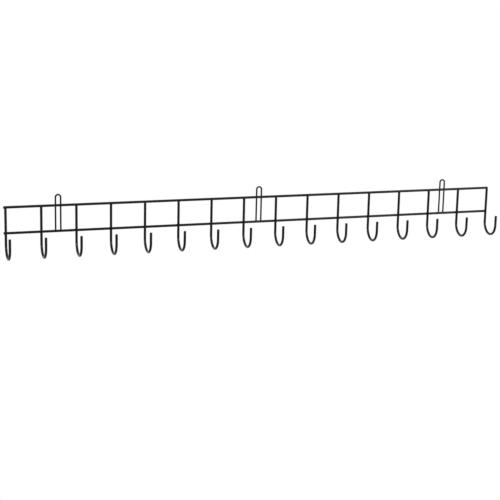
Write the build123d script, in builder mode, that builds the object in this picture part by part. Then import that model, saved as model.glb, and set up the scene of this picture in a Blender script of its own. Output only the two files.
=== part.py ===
# Wall rack for long-handled garden tools, welded up from steel wire.
# Two straight rails run along the wall. J-shaped hook wires are welded to their front,
# and three thinner hairpin hangers are welded to their back and go over screws in the wall.
#
# Millimetres, +X along the rack, -Y out from the wall, +Z up. The wall is the plane Y = 0,
# and the origin is the centre of the middle hanger's round top, where its screw sits.

import os

from build123d import *

os.makedirs("parts", exist_ok=True)

# Wire diameters, measured over the coating
rail_wire_diameter = 4.5
hook_wire_diameter = 4.5
hanger_wire_diameter = 3.0

# Rails
rail_spacing = 45.0
rail_overhang = 3.2

# Hooks: a straight stem down the front of both rails, a half-round bend and an upright tip
hook_count = 16
hook_pitch = 61.0
hook_head_above_rail = 0.5
hook_stem_below_rail = 19.0
hook_bend_radius = 20.75
hook_tip_length = 18.0

# Hangers: two legs down the back of both rails, joined by a half-round top
hanger_leg_spacing = 9.0
hanger_top_above_rail = 13.5
hanger_tail_below_rail = 1.0
bays_outside_end_hangers = 1

# How deep each welded wire sinks into the rail that it crosses
hook_weld_depth = 0.7
hanger_weld_depth = 0.5

# Softened edge of every cut wire end
wire_end_rounding = 0.5

# Wire radii
rail_wire_radius = rail_wire_diameter / 2
hook_wire_radius = hook_wire_diameter / 2
hanger_wire_radius = hanger_wire_diameter / 2

# Depths from the wall, each wire seated in the one behind it
hanger_y = -hanger_wire_radius
rail_y = hanger_y - (hanger_wire_radius + rail_wire_radius - hanger_weld_depth)
hook_y = rail_y - (rail_wire_radius + hook_wire_radius - hook_weld_depth)

# Heights, down from the centre of the hangers' round tops
top_rail_z = -hanger_top_above_rail
bottom_rail_z = top_rail_z - rail_spacing
hook_head_z = top_rail_z + hook_head_above_rail
hook_bend_z = bottom_rail_z - hook_stem_below_rail
hanger_tail_z = bottom_rail_z - hanger_tail_below_rail

# Places along the rack, the same on both sides of its middle
rack_half_width = hook_pitch * (hook_count - 1) / 2
hook_places = [index * hook_pitch - rack_half_width for index in range(hook_count)]
end_hanger_x = rack_half_width - (bays_outside_end_hangers + 0.5) * hook_pitch
hanger_places = {
    "hanger_left": -end_hanger_x,
    "hanger_middle": 0.0,
    "hanger_right": end_hanger_x,
}


def save(name, part):
    part.label = name
    export_step(part, f"parts/{name}.step")


# Hook wires, bent in planes square to the wall. All of them are kept to seat the rails on.
welded_wires = []
for number, hook_x in enumerate(hook_places, start=1):
    with BuildPart() as hook:
        with BuildLine(Plane.YZ.offset(hook_x)):
            stem = Line((hook_y, hook_head_z), (hook_y, hook_bend_z))
            bend = JernArc(stem @ 1, stem % 1, hook_bend_radius, -180)
            tip = Line(bend @ 1, bend @ 1 + (bend % 1) * hook_tip_length)
        with BuildSketch(Plane(origin=stem @ 0, z_dir=stem % 0)):
            Circle(hook_wire_radius)
        sweep()
        cut_ends = hook.faces().filter_by(GeomType.PLANE)
        fillet(cut_ends.edges(), wire_end_rounding)
    save(f"hook_{number:02d}", hook.part)
    welded_wires.append(hook.part)

# Hairpin hangers, bent in one plane that lies flat on the wall
for name, hanger_x in hanger_places.items():
    left_leg_x = hanger_x - hanger_leg_spacing / 2
    with BuildPart() as hanger:
        with BuildLine(Plane.XZ.offset(-hanger_y)):
            left_leg = Line((left_leg_x, hanger_tail_z), (left_leg_x, 0))
            round_top = JernArc(left_leg @ 1, left_leg % 1, hanger_leg_spacing / 2, -180)
            right_leg = Line(round_top @ 1, round_top @ 1 + (round_top % 1) * left_leg.length)
        with BuildSketch(Plane(origin=left_leg @ 0, z_dir=left_leg % 0)):
            Circle(hanger_wire_radius)
        sweep()
        cut_ends = hanger.faces().filter_by(GeomType.PLANE)
        fillet(cut_ends.edges(), wire_end_rounding)
    save(name, hanger.part)
    welded_wires.append(hanger.part)

# Rails, each dented by the hooks in front of it and by the hangers' legs behind it
rail_length = 2 * (rack_half_width + rail_overhang)
for name, rail_z in {"top_rail": top_rail_z, "bottom_rail": bottom_rail_z}.items():
    with BuildPart() as rail:
        with BuildSketch(Plane.YZ.offset(-rail_length / 2)):
            with Locations((rail_y, rail_z)):
                Circle(rail_wire_radius)
        extrude(amount=rail_length)
        fillet(rail.edges().filter_by(GeomType.CIRCLE), wire_end_rounding)
        add(welded_wires, mode=Mode.SUBTRACT)
    save(name, rail.part)
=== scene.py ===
import bpy
import bmesh
import math
from mathutils import Matrix, Vector


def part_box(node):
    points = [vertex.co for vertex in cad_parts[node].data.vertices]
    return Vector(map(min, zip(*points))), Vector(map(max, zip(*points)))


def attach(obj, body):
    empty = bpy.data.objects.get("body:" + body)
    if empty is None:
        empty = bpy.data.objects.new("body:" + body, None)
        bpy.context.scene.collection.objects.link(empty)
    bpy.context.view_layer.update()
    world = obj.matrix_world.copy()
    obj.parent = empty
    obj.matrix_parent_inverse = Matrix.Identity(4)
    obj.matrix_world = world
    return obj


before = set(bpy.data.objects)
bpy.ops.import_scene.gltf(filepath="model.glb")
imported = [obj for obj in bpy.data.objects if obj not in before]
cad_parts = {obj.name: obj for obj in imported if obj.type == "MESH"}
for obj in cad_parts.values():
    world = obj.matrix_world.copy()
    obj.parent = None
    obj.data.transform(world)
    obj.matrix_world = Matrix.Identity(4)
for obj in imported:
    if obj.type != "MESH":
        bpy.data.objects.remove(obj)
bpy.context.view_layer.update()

# The rails are two straight lengths of 4.5 mm steel wire, cut square and laid along the wall.
# Like the rest of the rack they are powder coated black after welding: a thin semi-gloss
# skin with a fine orange peel, a little rougher and greyer where the powder lay thin.
coat_black = (0.0015, 0.0015, 0.0016, 1.0)
coat_black_thin = (0.0035, 0.0035, 0.0036, 1.0)
coat_roughness = (0.18, 0.26)
coat_specular = 0.15
coat_cloud_size = 0.02
coat_cloud_detail = 3
peel_size = 0.0018
peel_detail = 2
peel_height = 0.00003
noise_low = 0.3
noise_high = 0.7


def noise(tree, place, size, detail):
    node = tree.nodes.new("ShaderNodeTexNoise")
    node.inputs["Scale"].default_value = 1 / size
    node.inputs["Detail"].default_value = detail
    tree.links.new(place, node.inputs["Vector"])
    return node.outputs["Fac"]


def spread(tree, value, low, high):
    node = tree.nodes.new("ShaderNodeMapRange")
    node.inputs["From Min"].default_value = noise_low
    node.inputs["From Max"].default_value = noise_high
    node.inputs["To Min"].default_value = low
    node.inputs["To Max"].default_value = high
    tree.links.new(value, node.inputs["Value"])
    return node.outputs["Result"]


powder_coat = bpy.data.materials.new("black_powder_coat")
powder_coat.use_nodes = True
tree = powder_coat.node_tree
shader = tree.nodes["Principled BSDF"]
shader.inputs["Specular IOR Level"].default_value = coat_specular
place = tree.nodes.new("ShaderNodeTexCoord").outputs["Object"]
cloud = noise(tree, place, coat_cloud_size, coat_cloud_detail)
colour = tree.nodes.new("ShaderNodeMix")
colour.data_type = "RGBA"
colour.inputs["A"].default_value = coat_black
colour.inputs["B"].default_value = coat_black_thin
tree.links.new(spread(tree, cloud, 0, 1), colour.inputs["Factor"])
tree.links.new(colour.outputs["Result"], shader.inputs["Base Color"])
tree.links.new(spread(tree, cloud, *coat_roughness), shader.inputs["Roughness"])
peel = tree.nodes.new("ShaderNodeBump")
peel.inputs["Distance"].default_value = peel_height
tree.links.new(noise(tree, place, peel_size, peel_detail), peel.inputs["Height"])
tree.links.new(peel.outputs["Normal"], shader.inputs["Normal"])


def coat(*names):
    for name in names:
        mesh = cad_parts[name].data
        mesh.materials.clear()
        mesh.materials.append(powder_coat)


coat("top_rail", "bottom_rail")

# Sixteen hooks, each one length of the same wire, bent into a J in a plane square to the wall
# and resistance welded to the front of both rails. They share the rails' coat.
hooks = sorted(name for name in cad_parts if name.startswith("hook_"))
coat(*hooks)

# Three hairpin hangers of thinner 3 mm wire, welded to the back of both rails. Their round
# tops stand above the top rail and drop over screws in the wall.
hangers = sorted(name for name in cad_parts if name.startswith("hanger_"))
coat(*hangers)

# Where two wires cross, the weld squeezes a thin bead of steel out from between them, and the
# coat runs over it. Each bead fills the saddle between the upright wire and the rail, as far as
# the wire goes, and the beads at one rail are one piece.
bead_overhang = 1.2
bead_half_thickness = 0.0006
bead_segments = 20
bead_rings = 10


def weld_bead(mesh, rail, wire_x, wire_y, wire_radius, wire_low, wire_high):
    rail_low, rail_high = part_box(rail)
    rail_radius = (rail_high[2] - rail_low[2]) / 2
    rail_y = (rail_low[1] + rail_high[1]) / 2
    rail_z = (rail_low[2] + rail_high[2]) / 2
    side = 1 if wire_y < rail_y else -1
    sunk = wire_radius + rail_radius - abs(rail_y - wire_y)
    seam_y = (wire_y + side * wire_radius + rail_y - side * rail_radius) / 2
    reach_x = bead_overhang * math.sqrt(2 * wire_radius * sunk)
    reach_z = bead_overhang * math.sqrt(2 * rail_radius * sunk)
    low = max(rail_z - reach_z, wire_low)
    high = min(rail_z + reach_z, wire_high)
    shape = Matrix.Diagonal((reach_x, bead_half_thickness, (high - low) / 2, 1))
    bead = bmesh.ops.create_uvsphere(
        mesh, u_segments=bead_segments, v_segments=bead_rings, radius=1,
        matrix=Matrix.Translation((0, 0, (low + high) / 2 - rail_z)) @ shape)["verts"]
    for vert in bead:
        rail_falls_back = vert.co.z ** 2 / (2 * rail_radius)
        wire_falls_back = vert.co.x ** 2 / (2 * wire_radius)
        vert.co.y += side * (rail_falls_back - wire_falls_back) / 2
    bmesh.ops.translate(mesh, verts=bead, vec=(wire_x, seam_y, rail_z))


for rail in ("top_rail", "bottom_rail"):
    mesh = bmesh.new()
    for name in hooks:
        low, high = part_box(name)
        radius = (high[0] - low[0]) / 2
        weld_bead(mesh, rail, low[0] + radius, high[1] - radius, radius, low[2], high[2])
    for name in hangers:
        low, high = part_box(name)
        radius = (high[1] - low[1]) / 2
        for leg_x in (low[0] + radius, high[0] - radius):
            weld_bead(mesh, rail, leg_x, low[1] + radius, radius, low[2], high[2])
    beads_mesh = bpy.data.meshes.new(f"{rail}_weld_beads")
    mesh.to_mesh(beads_mesh)
    mesh.free()
    beads_mesh.materials.append(powder_coat)
    beads_mesh.shade_smooth()
    beads = bpy.data.objects.new(f"{rail}_weld_beads", beads_mesh)
    bpy.context.scene.collection.objects.link(beads)
    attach(beads, "root")

# The studio: one pale sweep of paper for floor and backdrop, with the rack a metre and a half
# above the floor. Right below the rack the paper is pale and takes its shadow, and further off
# it shows as pure white.
paper_white = (0.8, 0.8, 0.8, 1.0)
paper_roughness = 1.0
paper_specular = 0.0
floor_height = -1.5
sweep_half_width = 7.0
sweep_front = -6.0
sweep_back = 4.5
sweep_bend = 1.5
sweep_bend_steps = 24
sweep_top = 6.0
plain_floor = 0.6
white_floor = 1.3
shadow_glow = 0.5


def seen_as_backdrop(tree):
    rays = tree.nodes.new("ShaderNodeLightPath").outputs
    seen = rays["Is Camera Ray"]
    for ray in ("Is Glossy Ray", "Is Transmission Ray"):
        either = tree.nodes.new("ShaderNodeMath")
        either.operation = "MAXIMUM"
        tree.links.new(seen, either.inputs[0])
        tree.links.new(rays[ray], either.inputs[1])
        seen = either.outputs["Value"]
    return seen


paper = bpy.data.materials.new("white_paper")
paper.use_nodes = True
tree = paper.node_tree
shader = tree.nodes["Principled BSDF"]
shader.inputs["Base Color"].default_value = paper_white
shader.inputs["Roughness"].default_value = paper_roughness
shader.inputs["Specular IOR Level"].default_value = paper_specular
foot = tree.nodes.new("ShaderNodeVectorMath")
foot.operation = "DISTANCE"
foot.inputs[1].default_value = (0, 0, floor_height)
tree.links.new(tree.nodes.new("ShaderNodeTexCoord").outputs["Object"], foot.inputs[0])
far = tree.nodes.new("ShaderNodeMapRange")
far.interpolation_type = "SMOOTHSTEP"
far.inputs["From Min"].default_value = plain_floor
far.inputs["From Max"].default_value = white_floor
far.inputs["To Min"].default_value = shadow_glow
tree.links.new(foot.outputs["Value"], far.inputs["Value"])
glow = tree.nodes.new("ShaderNodeMath")
glow.operation = "MULTIPLY"
tree.links.new(seen_as_backdrop(tree), glow.inputs[0])
tree.links.new(far.outputs["Result"], glow.inputs[1])
mix = tree.nodes.new("ShaderNodeMixShader")
tree.links.new(glow.outputs["Value"], mix.inputs["Fac"])
tree.links.new(shader.outputs["BSDF"], mix.inputs[1])
tree.links.new(tree.nodes.new("ShaderNodeEmission").outputs["Emission"], mix.inputs[2])
tree.links.new(mix.outputs["Shader"], tree.nodes["Material Output"].inputs["Surface"])

mesh = bmesh.new()
front = mesh.verts.new((-sweep_half_width, sweep_front, floor_height))
rear = mesh.verts.new((-sweep_half_width, sweep_back - sweep_bend, floor_height))
mesh.edges.new((front, rear))
bend = bmesh.ops.spin(
    mesh, geom=[rear], cent=(0, sweep_back - sweep_bend, floor_height + sweep_bend),
    axis=(1, 0, 0), angle=math.pi / 2, steps=sweep_bend_steps)
wall = bmesh.ops.extrude_vert_indiv(mesh, verts=[bend["geom_last"][0]])["verts"][0]
wall.co.z = sweep_top
across = bmesh.ops.extrude_edge_only(mesh, edges=mesh.edges[:])["geom"]
far_side = [part for part in across if isinstance(part, bmesh.types.BMVert)]
bmesh.ops.translate(mesh, verts=far_side, vec=(2 * sweep_half_width, 0, 0))
sweep_mesh = bpy.data.meshes.new("sweep")
mesh.to_mesh(sweep_mesh)
mesh.free()
sweep_mesh.materials.append(paper)
sweep_mesh.shade_smooth()
sweep = bpy.data.objects.new("sweep", sweep_mesh)
bpy.context.scene.collection.objects.link(sweep)

# Two low, wide soft boxes in front of the rack, to its right and left, and a large pale panel
# overhead. The boxes glint where each hook begins to bend, and the right one also glints along
# the right half of the rails.
rack_middle = Vector((0, 0, -0.05))
right_box_place = (1.3, -1.95, 0.7)
right_box_size = (1.4, 0.5)
right_box_power = 32
left_box_place = (-1.5, -1.85, 0.72)
left_box_size = (1.3, 0.5)
left_box_power = 42
overhead_place = (0.0, -0.5, 2.2)
overhead_size = (3.0, 2.5)
overhead_power = 14


def soft_box(name, place, size, power):
    lamp = bpy.data.lights.new(name, "AREA")
    lamp.shape = "RECTANGLE"
    lamp.size, lamp.size_y = size
    lamp.energy = power
    light = bpy.data.objects.new(name, lamp)
    place = Vector(place)
    facing = (rack_middle - place).to_track_quat("-Z", "Y").to_matrix().to_4x4()
    light.matrix_world = Matrix.Translation(place) @ facing
    light.visible_camera = False
    bpy.context.scene.collection.objects.link(light)


soft_box("right_box", right_box_place, right_box_size, right_box_power)
soft_box("left_box", left_box_place, left_box_size, left_box_power)
soft_box("overhead_panel", overhead_place, overhead_size, overhead_power)

# The room: a little even light from all round, which the camera and reflections see as white,
# so that the rack stands on white from every side.
room_white = (1.0, 1.0, 1.0, 1.0)
room_light = 0.12
world = bpy.data.worlds.new("studio")
world.use_nodes = True
bpy.context.scene.world = world
tree = world.node_tree
room = tree.nodes["Background"]
room.inputs["Color"].default_value = room_white
room.inputs["Strength"].default_value = room_light
bright = tree.nodes.new("ShaderNodeBackground")
bright.inputs["Color"].default_value = room_white
mix = tree.nodes.new("ShaderNodeMixShader")
tree.links.new(seen_as_backdrop(tree), mix.inputs["Fac"])
tree.links.new(room.outputs["Background"], mix.inputs[1])
tree.links.new(bright.outputs["Background"], mix.inputs[2])
tree.links.new(mix.outputs["Shader"], tree.nodes["World Output"].inputs["Surface"])

# The camera of the photograph: a long lens left of the rack and a little above it, turned to
# the right and down, and tilted by a little over a degree.
camera_place = (-0.8178, -2.3156, 0.4473)
camera_turn = math.radians(19.14)
camera_dip = math.radians(12.85)
camera_tilt = math.radians(1.34)
focal_length = 99.55
sensor_width = 36.0
farthest_seen = 50.0

lens = bpy.data.cameras.new("camera")
lens.lens = focal_length
lens.sensor_width = sensor_width
lens.clip_end = farthest_seen
camera = bpy.data.objects.new("camera", lens)
camera.matrix_world = (Matrix.Translation(camera_place)
                       @ Matrix.Rotation(-camera_turn, 4, "Z")
                       @ Matrix.Rotation(math.pi / 2 - camera_dip, 4, "X")
                       @ Matrix.Rotation(camera_tilt, 4, "Z"))
bpy.context.scene.collection.objects.link(camera)
bpy.context.scene.camera = camera
bpy.context.scene.view_settings.view_transform = "Standard"
